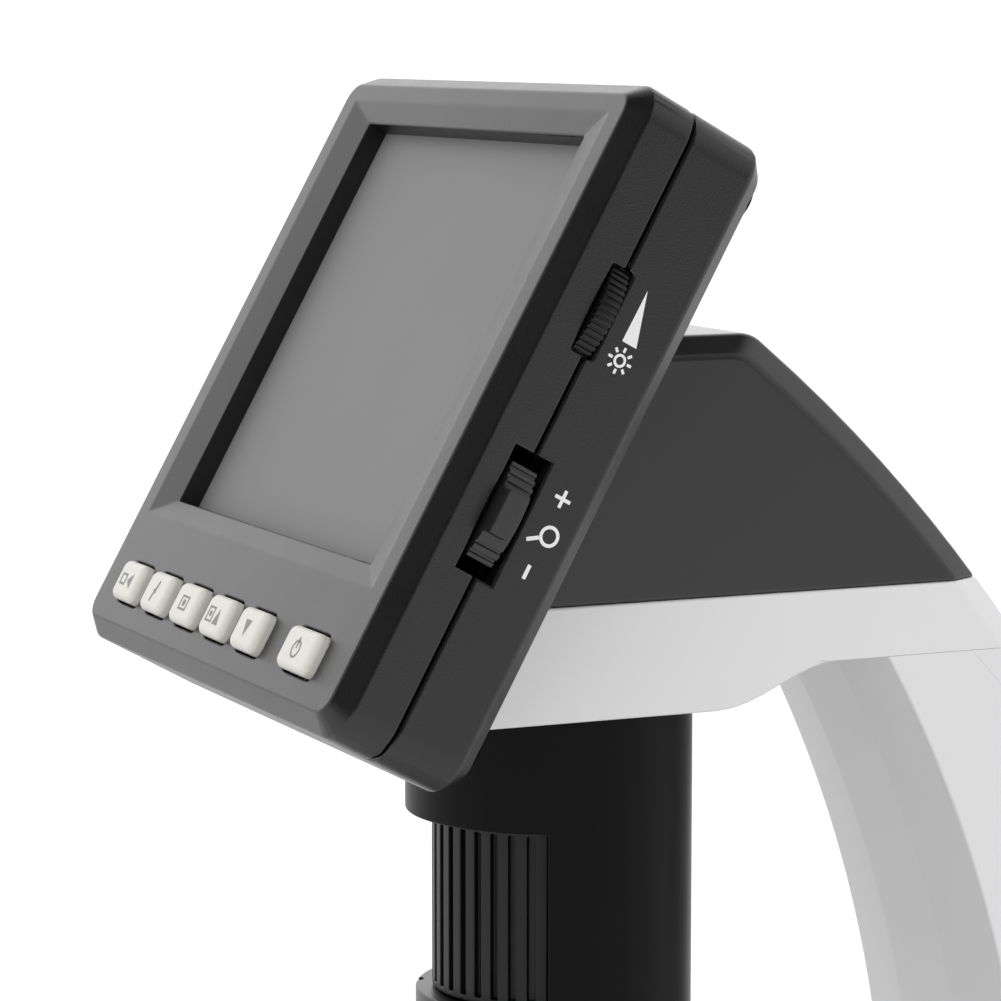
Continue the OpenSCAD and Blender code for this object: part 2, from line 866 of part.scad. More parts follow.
front_bezel();
rear_shell();
display_glass();
display_panel();
backlight_plate();
main_board();
key_board();
key_switches();
key_1();
key_2();
key_3();
key_4();
key_5();
power_key();
brightness_wheel();
wheel_control();
zoom_lever();
zoom_switch();
card_socket();
usb_socket();
display_screws();
hinge_barrel();
hinge_ears();
hinge_pin();
head_cover();
head_housing();
head_screws();
battery_tray();
battery_pack();
charge_board();
column_sleeve();
lens_guide();
focus_ring();
lens_barrel();
lens_front();
lens_rear();
sensor_board();
image_sensor();
index_ring();
led_board();
leds();
light_diffuser();
arm_front_shell();
arm_back_shell();
arm_screws();
base_housing();
base_plate();
base_weight();
base_screws();
rubber_feet();
stage_plate();
stage_insert();
clip_posts();
clip_left();
clip_right();
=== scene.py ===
# Looks of the desktop digital microscope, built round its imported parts.
# Metres: X to the user's right, Y to the back, Z up, with the origin on the table.
import json
import math

import bpy
from mathutils import Matrix, Vector

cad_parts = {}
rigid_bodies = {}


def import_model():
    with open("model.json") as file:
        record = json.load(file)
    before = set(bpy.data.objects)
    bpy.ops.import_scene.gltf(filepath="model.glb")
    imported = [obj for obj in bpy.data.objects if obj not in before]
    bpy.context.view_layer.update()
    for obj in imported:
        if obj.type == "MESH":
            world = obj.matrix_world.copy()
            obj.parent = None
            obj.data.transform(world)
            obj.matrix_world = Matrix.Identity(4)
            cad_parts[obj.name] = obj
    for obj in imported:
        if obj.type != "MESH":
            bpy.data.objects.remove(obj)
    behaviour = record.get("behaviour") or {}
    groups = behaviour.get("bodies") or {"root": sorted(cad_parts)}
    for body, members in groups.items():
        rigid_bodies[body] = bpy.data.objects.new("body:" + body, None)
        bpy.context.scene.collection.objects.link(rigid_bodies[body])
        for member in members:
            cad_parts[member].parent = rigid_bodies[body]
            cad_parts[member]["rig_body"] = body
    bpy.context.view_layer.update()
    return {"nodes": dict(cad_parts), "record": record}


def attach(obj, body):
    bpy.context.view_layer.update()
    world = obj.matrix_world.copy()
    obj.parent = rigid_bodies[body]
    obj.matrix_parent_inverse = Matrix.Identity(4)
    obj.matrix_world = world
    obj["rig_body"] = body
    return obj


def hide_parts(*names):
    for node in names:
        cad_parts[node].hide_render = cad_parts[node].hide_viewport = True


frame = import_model()
nodes = frame["nodes"]
mm = 0.001
bpy.ops.object.select_all(action="DESELECT")
print("parts loaded:", len(nodes))


# The numbers of sockets that are found by place, as their names repeat
socketOf = {
    "objectPlace": 3, "brickLines": 1, "mixAmount": 0, "mixFirst": 6, "mixSecond": 7, "mixResult": 2,
    "dotProduct": 1, "upward": 2,
}


class Wire:  # an output socket, so that sums written in Python add Math nodes
    def __init__(self, tree, socket):
        self.tree = tree
        self.socket = socket

    def sum(self, operation, first, second):
        maths = self.tree.nodes.new("ShaderNodeMath")
        maths.operation = operation
        for into, value in zip(maths.inputs, (first, second)):
            if isinstance(value, Wire):
                self.tree.links.new(value.socket, into)
            else:
                into.default_value = value
        return Wire(self.tree, maths.outputs[0])

    def __add__(self, other):
        return self.sum("ADD", self, other)

    def __radd__(self, other):
        return self.sum("ADD", other, self)

    def __rsub__(self, other):
        return self.sum("SUBTRACT", other, self)

    def __mul__(self, other):
        return self.sum("MULTIPLY", self, other)

    def __rmul__(self, other):
        return self.sum("MULTIPLY", other, self)


class Finish:  # a material or world whose nodes are added one call at a time
    def __init__(self, holder):
        holder.use_nodes = True
        self.holder = holder
        self.tree = holder.node_tree
        self.tree.nodes.clear()

    def node(self, kind, values=None, out=0, **settings):
        made = self.tree.nodes.new(kind)
        for setting, value in settings.items():
            setattr(made, setting, value)
        for socket, value in (values or {}).items():
            if isinstance(value, Wire):
                self.tree.links.new(value.socket, made.inputs[socket])
            else:
                made.inputs[socket].default_value = value
        return Wire(self.tree, made.outputs[out]) if made.outputs else None

    def place(self):
        return self.node("ShaderNodeTexCoord", out=socketOf["objectPlace"])

    def noise(self, size, detail, stretch=None):  # size of the pattern in metres
        place = self.place()
        if stretch:
            place = self.node("ShaderNodeMapping", {"Vector": place, "Scale": stretch})
        return self.node("ShaderNodeTexNoise", {"Vector": place, "Scale": 1 / size, "Detail": detail})

    def mixed(self, amount, first, second):
        inputs = {socketOf["mixAmount"]: amount, socketOf["mixFirst"]: first, socketOf["mixSecond"]: second}
        return self.node("ShaderNodeMix", inputs, out=socketOf["mixResult"], data_type="RGBA")

    def bump(self, height, depth, strength, below=None):
        values = {"Height": height, "Distance": depth, "Strength": strength}
        if below:
            values["Normal"] = below
        return self.node("ShaderNodeBump", values)

    def surface(self, values):
        shader = self.node("ShaderNodeBsdfPrincipled", values)
        self.node("ShaderNodeOutputMaterial", {"Surface": shader})
        return self.holder


def tone(red, green, blue):
    return (red, green, blue, 1.0)


def newFinish(name):
    return Finish(bpy.data.materials.new(name))


# Spark-textured or satin plastic: two close tones, a fine grain and a slow unevenness of its gloss.
# cloud and slow are sizes of patterns, and the tones, roughs and bumps are shares.
plastic = {
    "cloud": 9 * mm, "slow": 22 * mm, "cloudTone": 0.6, "grainTone": 0.4, "index": 1.5,
    "smoother": 0.05, "cloudRough": 0.06, "grainRough": 0.04, "grainBump": 0.6, "waveBump": 0.5,
}


# grain is the size of the grain in mm, and depth and wave are the heights of its relief and of the slow one
def mouldedPlastic(name, low, high, rough, grain, depth, wave=0.0, level=0.5):
    finish = newFinish(name)
    cloud = finish.noise(plastic["cloud"], 3.0)
    fine = finish.noise(grain * mm, 2.0)
    normal = finish.bump(fine, depth * mm, plastic["grainBump"])
    if wave:
        slow = finish.noise(plastic["slow"], 1.0)
        normal = finish.bump(slow, wave * mm, plastic["waveBump"], normal)
    share = plastic["cloudTone"] * cloud + plastic["grainTone"] * fine
    evenRough = rough - plastic["smoother"]
    return finish.surface({
        "Base Color": finish.mixed(share, tone(*low), tone(*high)),
        "Roughness": evenRough + plastic["cloudRough"] * cloud + plastic["grainRough"] * fine,
        "Normal": normal,
        "IOR": plastic["index"],
        "Specular IOR Level": level,
    })


# Anti-glare display sheet: a dull grey that catches the room, with a very fine sparkle
sheet = {
    "sparkle": 0.09 * mm, "slow": 30 * mm, "low": (0.215, 0.215, 0.220), "high": (0.232, 0.232, 0.237),
    "rough": 0.50, "sparkleRough": 0.05, "depth": 0.004 * mm, "bump": 0.4, "level": 0.2, "index": 1.5,
}


def displaySheet(name):
    finish = newFinish(name)
    fine = finish.noise(sheet["sparkle"], 1.0)
    slow = finish.noise(sheet["slow"], 1.0)
    return finish.surface({
        "Base Color": finish.mixed(slow, tone(*sheet["low"]), tone(*sheet["high"])),
        "Roughness": sheet["rough"] + sheet["sparkleRough"] * fine,
        "Specular IOR Level": sheet["level"],
        "Normal": finish.bump(fine, sheet["depth"], sheet["bump"]),
        "IOR": sheet["index"],
    })


# Stamped or turned metal with fine drawn lines along one direction
drawn = {"lines": 0.25 * mm, "cloud": 6 * mm, "even": 0.5, "lineRough": 0.10, "depth": 0.01 * mm, "bump": 0.5}


def drawnMetal(name, low, high, rough, stretch):
    finish = newFinish(name)
    lines = finish.noise(drawn["lines"], 3.0, stretch)
    cloud = finish.noise(drawn["cloud"], 2.0)
    share = drawn["even"] * lines + drawn["even"] * cloud
    return finish.surface({
        "Base Color": finish.mixed(share, tone(*low), tone(*high)),
        "Roughness": rough + drawn["lineRough"] * lines,
        "Normal": finish.bump(lines, drawn["depth"], drawn["bump"]),
        "Metallic": 1.0,
    })


# Solder mask with the faint relief of the tracks under it
mask = {
    "tracks": {"Scale": 420.0, "Mortar Size": 0.06, "Mortar Smooth": 0.2}, "trackTone": 0.7,
    "cloud": 4 * mm, "cloudTone": 0.3, "rough": 0.34, "cloudRough": 0.08, "depth": 0.03 * mm, "bump": 0.5,
}


def solderMask(name, low, high):
    finish = newFinish(name)
    tracks = finish.node(
        "ShaderNodeTexBrick", {"Vector": finish.place(), **mask["tracks"]}, out=socketOf["brickLines"]
    )
    cloud = finish.noise(mask["cloud"], 2.0)
    share = mask["trackTone"] * tracks + mask["cloudTone"] * cloud
    return finish.surface({
        "Base Color": finish.mixed(share, tone(*low), tone(*high)),
        "Roughness": mask["rough"] + mask["cloudRough"] * cloud,
        "Normal": finish.bump(tracks, mask["depth"], mask["bump"]),
    })


iron = {
    "pits": 0.8 * mm, "low": (0.05, 0.05, 0.052), "high": (0.16, 0.155, 0.15),
    "rough": 0.55, "pitRough": 0.2, "depth": 0.15 * mm, "bump": 0.7, "metal": 0.8,
}


def castIron(name):
    finish = newFinish(name)
    pits = finish.noise(iron["pits"], 5.0)
    return finish.surface({
        "Base Color": finish.mixed(pits, tone(*iron["low"]), tone(*iron["high"])),
        "Roughness": iron["rough"] + iron["pitRough"] * pits,
        "Normal": finish.bump(pits, iron["depth"], iron["bump"]),
        "Metallic": iron["metal"],
    })


# Clear moulded lens or domed plastic
clear = {"cloud": 5 * mm, "tone": (0.95, 0.96, 0.97), "cloudRough": 0.02, "index": 1.52, "through": 0.9}


def clearLens(name, tint, rough):
    finish = newFinish(name)
    cloud = finish.noise(clear["cloud"], 1.0)
    return finish.surface({
        "Base Color": finish.mixed(cloud, tone(*tint), tone(*clear["tone"])),
        "Roughness": rough + clear["cloudRough"] * cloud,
        "IOR": clear["index"],
        "Transmission Weight": clear["through"],
    })


finishes = {
    "black_plastic": mouldedPlastic(
        "grainedBlack", (0.004, 0.004, 0.0042), (0.010, 0.010, 0.0104),
        rough=0.34, grain=0.26, depth=0.044, wave=0.07, level=0.55,
    ),
    "head_black": mouldedPlastic(
        "satinBlack", (0.012, 0.012, 0.0125), (0.019, 0.019, 0.020),
        rough=0.25, grain=0.30, depth=0.008, wave=0.05,
    ),
    "control_black": mouldedPlastic(
        "ribbedBlack", (0.005, 0.005, 0.0053), (0.009, 0.009, 0.0095),
        rough=0.42, grain=0.16, depth=0.012, level=0.35,
    ),
    "white_plastic": mouldedPlastic(
        "satinWhite", (0.765, 0.76, 0.77), (0.80, 0.795, 0.805),
        rough=0.36, grain=0.35, depth=0.004, wave=0.05,
    ),
    "key_plastic": mouldedPlastic(
        "keyWhite", (0.70, 0.685, 0.635), (0.75, 0.735, 0.685),
        rough=0.40, grain=0.15, depth=0.004, wave=0.02,
    ),
    "display_glass": displaySheet("displaySheet"),
    "display_stack": mouldedPlastic(
        "darkLaminate", (0.010, 0.010, 0.014), (0.020, 0.020, 0.026),
        rough=0.25, grain=0.5, depth=0.003,
    ),
    "diffuser": mouldedPlastic(
        "milkyPlastic", (0.78, 0.78, 0.76), (0.84, 0.84, 0.82),
        rough=0.50, grain=0.25, depth=0.010,
    ),
    "circuit_board": solderMask("greenMask", (0.012, 0.085, 0.030), (0.030, 0.150, 0.060)),
    "component": mouldedPlastic(
        "componentBlack", (0.030, 0.030, 0.030), (0.050, 0.050, 0.050),
        rough=0.45, grain=0.12, depth=0.010,
    ),
    "steel": drawnMetal(
        "platedSteel", (0.55, 0.55, 0.54), (0.70, 0.70, 0.69),
        rough=0.22, stretch=(1.0, 0.06, 1.0),
    ),
    "hinge_metal": drawnMetal(
        "blackenedSteel", (0.030, 0.030, 0.032), (0.060, 0.060, 0.062),
        rough=0.38, stretch=(0.1, 1.0, 1.0),
    ),
    "battery_wrap": mouldedPlastic(
        "shrinkWrap", (0.020, 0.070, 0.250), (0.035, 0.095, 0.310),
        rough=0.22, grain=0.9, depth=0.015, wave=0.15,
    ),
    "led_lens": clearLens("ledLens", (0.90, 0.86, 0.62), rough=0.10),
    "optical_glass": clearLens("opticalGlass", (0.82, 0.90, 0.94), rough=0.02),
    "iron": castIron("castIron"),
    "rubber": mouldedPlastic(
        "footRubber", (0.012, 0.012, 0.012), (0.022, 0.022, 0.022),
        rough=0.72, grain=0.30, depth=0.030,
    ),
}
columnBlack = mouldedPlastic(
    "columnBlack", (0.002, 0.002, 0.0021), (0.004, 0.004, 0.0042),
    rough=0.34, grain=0.25, depth=0.004, wave=0.03, level=0.1,
)
leverBlack = mouldedPlastic(
    "leverBlack", (0.018, 0.018, 0.0185), (0.026, 0.026, 0.027),
    rough=0.30, grain=0.16, depth=0.008,
)
whitePrint = mouldedPlastic(
    "whitePrint", (0.80, 0.80, 0.80), (0.88, 0.88, 0.88),
    rough=0.50, grain=0.08, depth=0.003,
)
greyPrint = mouldedPlastic(
    "greyPrint", (0.19, 0.19, 0.18), (0.26, 0.26, 0.25),
    rough=0.50, grain=0.08, depth=0.003,
)
blackMask = solderMask("blackMask", (0.006, 0.006, 0.007), (0.016, 0.016, 0.017))
slotOf = {row["node"]: row["material_slot"] for row in frame["record"]["subparts"]}
for name, part in nodes.items():
    part.data.materials.clear()
    part.data.materials.append(blackMask if name in ("main_board", "key_board") else finishes[slotOf[name]])
print("finishes made:", len(finishes))


def makeActive(piece):
    bpy.ops.object.select_all(action="DESELECT")
    piece.select_set(True)
    bpy.context.view_layer.objects.active = piece


def inEditMode(piece):
    makeActive(piece)
    bpy.context.view_layer.update()
    bpy.ops.object.mode_set(mode="EDIT")
    bpy.ops.mesh.select_all(action="SELECT")


def backToObject():
    bpy.ops.object.mode_set(mode="OBJECT")


def newest(name):
    piece = bpy.context.object
    piece.name = name
    piece.data.name = name
    return piece


def pickEdges(piece, wanted):  # selects the edges for which wanted(start, end) is true, in edit mode
    bpy.ops.mesh.select_all(action="DESELECT")
    bpy.ops.mesh.select_mode(type="EDGE")
    backToObject()
    points = [vertex.co.copy() for vertex in piece.data.vertices]
    for edge in piece.data.edges:
        edge.select = wanted(points[edge.vertices[0]], points[edge.vertices[1]])
    bpy.ops.object.mode_set(mode="EDIT")


# near and short join the points and edges that a rounding leaves too close, doubles joins the CAD's own
# points, and cut is the reach of a cutting plane. Faces that bend by less than flat or level degrees are taken
# as one plane, and edges that bend by less than smooth are shaded as round.
rounding = {
    "near": 0.002 * mm, "short": 0.001 * mm, "doubles": 0.002 * mm, "cut": 0.001 * mm,
    "flat": 0.3, "level": 0.4, "smooth": 38,
}


# Rounds the edges that bend by more than over degrees. share(start, end, bend) says how much of the width
# an edge gets, from 0 to 1.
def roundEdges(piece, width, steps, over, share=None):
    normals = {}
    for face in piece.data.polygons:
        for key in face.edge_keys:
            normals.setdefault(key, []).append(face.normal)
    points = [vertex.co for vertex in piece.data.vertices]
    weights = piece.data.attributes.new("bevel_weight_edge", "FLOAT", "EDGE")
    for edge in piece.data.edges:
        sides = normals.get(tuple(sorted(edge.vertices)), [])
        bend = math.degrees(sides[0].angle(sides[1], 0)) if len(sides) == 2 else 0
        if bend > over:
            start, end = (points[i] for i in edge.vertices)
            weights.data[edge.index].value = share(start, end, bend) if share else 1.0
    makeActive(piece)
    bevel = piece.modifiers.new("softEdges", "BEVEL")
    bevel.width = width
    bevel.segments = steps
    bevel.limit_method = "WEIGHT"
    bevel.use_clamp_overlap = False
    bevel.miter_outer = "MITER_ARC"
    bpy.ops.object.modifier_apply(modifier=bevel.name)
    inEditMode(piece)
    bpy.ops.mesh.remove_doubles(threshold=rounding["near"])
    bpy.ops.mesh.dissolve_degenerate(threshold=rounding["short"])
    backToObject()
    evenShading(piece)


def evenShading(piece, smooth=rounding["smooth"]):
    makeActive(piece)
    bpy.ops.object.shade_smooth_by_angle(angle=math.radians(smooth))
    weighted = piece.modifiers.new("evenShading", "WEIGHTED_NORMAL")
    weighted.keep_sharp = True
    bpy.ops.object.modifier_apply(modifier=weighted.name)


def settle(piece, at):  # puts the piece's place into its mesh
    makeActive(piece)
    piece.matrix_world = at @ piece.matrix_world
    bpy.ops.object.transform_apply(location=True, rotation=True, scale=True)


def carry(piece, body, finish, standsFor=()):
    piece.data.materials.clear()
    piece.data.materials.append(finish)
    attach(piece, body)
    if standsFor:
        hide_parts(*standsFor)


# In edit mode, joins the triangles of the flat faces that are wanted, up to the planes that cut each hole
# in two
def cleanFaces(piece, planes, wanted):
    for point, way in planes:
        bpy.ops.mesh.select_all(action="SELECT")
        bpy.ops.mesh.bisect(plane_co=point, plane_no=way, threshold=rounding["cut"])
        bpy.ops.mesh.mark_seam()
    bpy.ops.mesh.select_mode(type="FACE")
    bpy.ops.mesh.select_all(action="DESELECT")
    backToObject()
    for face in piece.data.polygons:
        face.select = wanted(face.center, face.normal)
    bpy.ops.object.mode_set(mode="EDIT")
    bpy.ops.mesh.dissolve_limited(angle_limit=math.radians(rounding["flat"]), delimit={"SEAM"})
    bpy.ops.mesh.select_all(action="SELECT")


# A copy of a part with its doubles merged, its triangles paired and its edges rounded by so many mm
def roundedPart(node, name, width, steps=3, over=30, finish=None, share=None, planes=(), wanted=None):
    piece = bpy.data.objects.new(name, nodes[node].data.copy())
    bpy.context.scene.collection.objects.link(piece)
    makeActive(piece)
    bpy.ops.mesh.customdata_custom_splitnormals_clear()
    inEditMode(piece)
    bpy.ops.mesh.remove_doubles(threshold=rounding["doubles"])
    if wanted:
        cleanFaces(piece, planes, wanted)
    bpy.ops.mesh.tris_convert_to_quads(
        face_threshold=math.radians(rounding["level"]), shape_threshold=math.radians(180)
    )
    backToObject()
    roundEdges(piece, width * mm, steps, over, share)
    carry(piece, nodes[node]["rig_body"], finish or finishes[slotOf[node]], [node])


# Lengths are in mm and angles in degrees in every settings dictionary from here on
display = {
    "place": (0, -43.5, 172), "lean": 29, "wide": 95.6, "tall": 90.1, "deep": 21.2, "middle": -7,
    "front": 1.7, "skin": 1.0, "cleanSkin": 6.0, "roundCorner": 14, "steep": 0.3,
}
onDisplay = Matrix.Translation(Vector(display["place"]) * mm) @ Matrix.Rotation(
    math.radians(90 - display["lean"]), 4, "X"
)
offDisplay = onDisplay.inverted()
keys = {
    "width": 8.3, "height": 5.8, "proud": 1.5, "corner": 1.3, "brow": 1.0, "block": 4.8,
    "row": -43.4, "first": -32.9, "step": 11.85, "powerAt": 32.2, "powerExtra": 1.6,
    "flange": 0.6, "flangeThick": 0.6, "flangeAt": -3.6, "flangeEdge": 0.2,
    "cornerSteps": 8, "browSteps": 7, "flangeSteps": 2, "smooth": 40,
}
keyPlaces = [keys["first"] + i * keys["step"] for i in range(5)] + [keys["powerAt"]]


def displayPlane(along, at):  # a plane across the display's own x or y, at so many mm
    way = Vector((1, 0, 0)) if along == "x" else Vector((0, 1, 0))
    return onDisplay @ (way * at * mm), onDisplay.to_3x3() @ way


def onOutside(point, skin=display["skin"]):  # within a skin of the display housing's outside
    local = offDisplay @ point / mm
    aside = max(abs(local.x) - display["wide"] / 2, abs(local.y - display["middle"]) - display["tall"] / 2)
    return aside > -skin or local.z > -display["front"] or local.z < skin - display["deep"]


def outsideOnly(start, end, bend):  # and not the lines down a round corner
    way = offDisplay.to_3x3() @ (end - start).normalized()
    cornerLine = bend < display["roundCorner"] and abs(way.z) > display["steep"]
    return 1.0 if onOutside(start) and onOutside(end) and not cornerLine else 0.0


def facesOut(centre, normal):
    return onOutside(centre, display["cleanSkin"])


# The middles of the holes in the display's shells, across and up its face
holes = {"across": keyPlaces + [0.3, -42.6, 42.6], "up": [keys["row"], 0.3, 9.9, -17.9, 8.0, -14.0]}
holePlanes = [displayPlane("x", at) for at in holes["across"]] + [displayPlane("y", at) for at in holes["up"]]
shells = {
    "front_bezel": {"name": "frontShell", "width": 0.30, "steps": 3},
    "rear_shell": {"name": "rearShell", "width": 0.45, "steps": 4},
}
for node, shape in shells.items():
    roundedPart(node, over=10, share=outsideOnly, planes=holePlanes, wanted=facesOut, **shape)
print("display shells rounded")

arm = {
    "top": 125.8, "splitCentre": (-32.3, 55.3), "splitRadius": 100, "nearTop": 0.05, "nearSplit": 0.1,
    "tight": 0.15, "flank": 20.9, "square": 0.99,
}


def armSeams(start, end, bend):  # the seams of the white shells stay tight, and their other edges are soft
    middle = Vector(arm["splitCentre"]) * mm
    radius = arm["splitRadius"] * mm
    atTop = all(abs(point.z - arm["top"] * mm) < arm["nearTop"] * mm for point in (start, end))
    atSplit = all(abs((point.yz - middle).length - radius) < arm["nearSplit"] * mm for point in (start, end))
    return arm["tight"] if atTop or atSplit else 1.0


# The new piece's name, the width of its rounding and the number of its steps
softParts = {
    "brightness_wheel": ("brightnessWheel", 0.06, 2),
    "zoom_lever": ("zoomLever", 0.14, 3),
    "column_sleeve": ("columnSleeve", 0.25, 3),
    "focus_ring": ("focusRing", 0.16, 3),
    "index_ring": ("indexRing", 0.30, 3),
    "stage_plate": ("stagePlate", 0.40, 3),
    "stage_insert": ("stageInsert", 0.20, 2),
    "rubber_feet": ("rubberFeet", 0.40, 3),
    "clip_left": ("clipLeft", 0.15, 2),
    "clip_right": ("clipRight", 0.15, 2),
    "clip_posts": ("clipPosts", 0.30, 3),
    "hinge_barrel": ("hingeBarrel", 0.30, 3),
    "hinge_ears": ("hingeEars", 0.30, 3),
    "light_diffuser": ("lightDiffuser", 0.20, 2),
}
ownFinish = {"column_sleeve": columnBlack, "zoom_lever": leverBlack}
for node, shape in softParts.items():
    roundedPart(node, *shape, finish=ownFinish.get(node))
print("small parts rounded:", len(softParts))


def onFlanks(centre, normal):  # the two flat sides of the head and arm
    return abs(centre.x) > arm["flank"] * mm and abs(normal.x) > arm["square"]


whiteShells = {
    "head_housing": {"name": "headHousing", "over": 20},
    "arm_front_shell": {"name": "armFront", "over": 6},
    "arm_back_shell": {"name": "armBack", "over": 6},
}
roundedPart("head_cover", "headCover", 0.70, steps=4, over=20, wanted=onFlanks)
for node, shape in whiteShells.items():
    roundedPart(node, width=0.40, share=armSeams, wanted=onFlanks, **shape)
print("head and arm rounded")

base = {
    "wide": 110, "deep": 150, "corner": 24, "top": 24, "holeX": 10, "holeY": 57,
    "near": 0.05, "topEdge": 4.58, "sideEdge": 2.9,
}


def baseInset(point):  # how far inside the base's outline a point is, in mm
    aside = max(abs(point.x / mm) - base["wide"] / 2 + base["corner"], 0)
    ahead = max(abs(point.y / mm) - base["deep"] / 2 + base["corner"], 0)
    return base["corner"] - math.hypot(aside, ahead)


def onBaseTop(point, normal=None):
    return point.z > (base["top"] - base["near"]) * mm


def baseOutside(start, end, bend):  # only the housing's outside, and not its holes or its inside
    limits = [base["topEdge"] if onBaseTop(point) else base["sideEdge"] for point in (start, end)]
    return 1.0 if baseInset(start) < limits[0] and baseInset(end) < limits[1] else 0.0


holeLines = [(Vector((x * mm, 0, 0)), Vector((1, 0, 0))) for x in (-base["holeX"], base["holeX"])]
holeLines.append((Vector((0, base["holeY"] * mm, 0)), Vector((0, 1, 0))))
roundedPart(
    "base_housing", "baseHousing", 0.90,
    steps=4, over=14, share=baseOutside, planes=holeLines, wanted=onBaseTop,
)
print("base rounded")


# One key: a block with round corners and a soft brow, over a thin flange that holds it in the shell
def keyShape(name, width):
    top = keys["proud"] * mm
    nearTop = top - 0.01 * mm
    bpy.ops.mesh.primitive_cube_add(size=1, location=(0, 0, top - keys["block"] / 2 * mm))
    cap = newest(name)
    cap.scale = (width * mm, keys["height"] * mm, keys["block"] * mm)
    bpy.ops.object.transform_apply(location=True, rotation=True, scale=True)
    inEditMode(cap)
    pickEdges(cap, lambda a, b: abs(a.z - b.z) > mm)
    bpy.ops.mesh.bevel(offset=keys["corner"] * mm, segments=keys["cornerSteps"], affect="EDGES")
    pickEdges(cap, lambda a, b: min(a.z, b.z) > nearTop)
    bpy.ops.mesh.bevel(offset=keys["brow"] * mm, segments=keys["browSteps"], affect="EDGES")
    backToObject()
    bpy.ops.mesh.primitive_cube_add(size=1, location=(0, 0, keys["flangeAt"] * mm))
    flange = newest(name + "Flange")
    spare = 2 * keys["flange"]
    flange.scale = ((width + spare) * mm, (keys["height"] + spare) * mm, keys["flangeThick"] * mm)
    bpy.ops.object.transform_apply(location=True, rotation=True, scale=True)
    inEditMode(flange)
    bpy.ops.mesh.bevel(offset=keys["flangeEdge"] * mm, segments=keys["flangeSteps"], affect="EDGES")
    backToObject()
    cap.select_set(True)
    bpy.context.view_layer.objects.active = cap
    bpy.ops.object.join()
    evenShading(cap, keys["smooth"])
    return cap


keyBodies = ["key_1", "key_2", "key_3", "key_4", "key_5", "power_key"]
plainKey = keyShape("keyShape", keys["width"])
for place, body in zip(keyPlaces, keyBodies):
    if body == "power_key":
        key = keyShape("powerKey", keys["width"] + keys["powerExtra"])
    else:
        key = plainKey.copy()
        key.data = plainKey.data.copy()
        key.name = body.replace("_", "Cap")
        bpy.context.scene.collection.objects.link(key)
    settle(key, onDisplay @ Matrix.Translation((place * mm, keys["row"] * mm, 0)))
    carry(key, body, finishes["key_plastic"], [body])
bpy.data.objects.remove(plainKey)
print("keys made:", len(keyPlaces))


# Printed symbols are drawn flat round their own middle and then laid on their face
ink = 0.035 * mm  # how far a print stands out
barCorner = 0.12  # of a bar's thinner side
farSide = 0.4  # of a triangle's height, beyond which a point is on the side that is drawn together


def bar(x, y, width, height, turn=0.0):
    bpy.ops.mesh.primitive_cube_add(size=1, location=(x * mm, y * mm, 0), rotation=(0, 0, math.radians(turn)))
    stroke = newest("stroke")
    stroke.scale = (width * mm, height * mm, 2 * ink)
    bpy.ops.object.transform_apply(location=False, rotation=False, scale=True)
    inEditMode(stroke)
    pickEdges(stroke, lambda a, b: abs(a.z - b.z) > ink)
    bpy.ops.mesh.bevel(offset=barCorner * min(width, height) * mm, segments=2, affect="EDGES")
    backToObject()
    bpy.ops.object.transform_apply(location=True, rotation=True, scale=True)
    return stroke


# Raises a flat face to a stroke, with the middle left out where a width is given
def raised(stroke, width=0.0):
    inEditMode(stroke)
    if width:
        bpy.ops.mesh.select_mode(type="FACE")
        bpy.ops.mesh.select_all(action="SELECT")
        bpy.ops.mesh.inset(thickness=width * mm)
        bpy.ops.mesh.delete(type="FACE")
        bpy.ops.mesh.select_all(action="SELECT")
    bpy.ops.mesh.extrude_region_move(TRANSFORM_OT_translate={"value": (0, 0, 2 * ink)})
    bpy.ops.mesh.select_all(action="SELECT")
    bpy.ops.mesh.normals_make_consistent(inside=False)
    backToObject()
    bpy.ops.object.transform_apply(location=True, rotation=True, scale=True)
    return stroke


def ring(x, y, radius, width, sides=40):
    bpy.ops.mesh.primitive_circle_add(
        vertices=sides, radius=radius * mm, fill_type="NGON", location=(x * mm, y * mm, -ink)
    )
    return raised(newest("stroke"), width if width < radius else 0.0)


# A flat triangle: a block whose far side is drawn together to a tip, which may lean to one side
def triangle(x, y, width, height, turn=0.0, lean=0.0):
    bpy.ops.mesh.primitive_cube_add(size=1, location=(x * mm, y * mm, 0), rotation=(0, 0, math.radians(turn)))
    stroke = newest("stroke")
    stroke.scale = (width * mm, height * mm, 2 * ink)
    bpy.ops.object.transform_apply(location=False, rotation=False, scale=True)
    inEditMode(stroke)
    beyond = farSide * height * mm
    for level in (-1, 1):
        pickEdges(stroke, lambda a, b: min(a.y, b.y) > beyond and min(a.z * level, b.z * level) > 0)
        bpy.ops.mesh.merge(type="CENTER")
    if lean:
        pickEdges(stroke, lambda a, b: min(a.y, b.y) > beyond)
        bpy.ops.transform.translate(value=(lean * mm, 0, 0))
    backToObject()
    bpy.ops.object.transform_apply(location=True, rotation=True, scale=True)
    return stroke


def symbol(name, strokes, at, body, finish):
    makeActive(strokes[0])
    for stroke in strokes:
        stroke.select_set(True)
    bpy.ops.object.join()
    piece = newest(name)
    settle(piece, at)
    bpy.ops.object.shade_smooth_by_angle(angle=math.radians(30))
    carry(piece, body, finish)


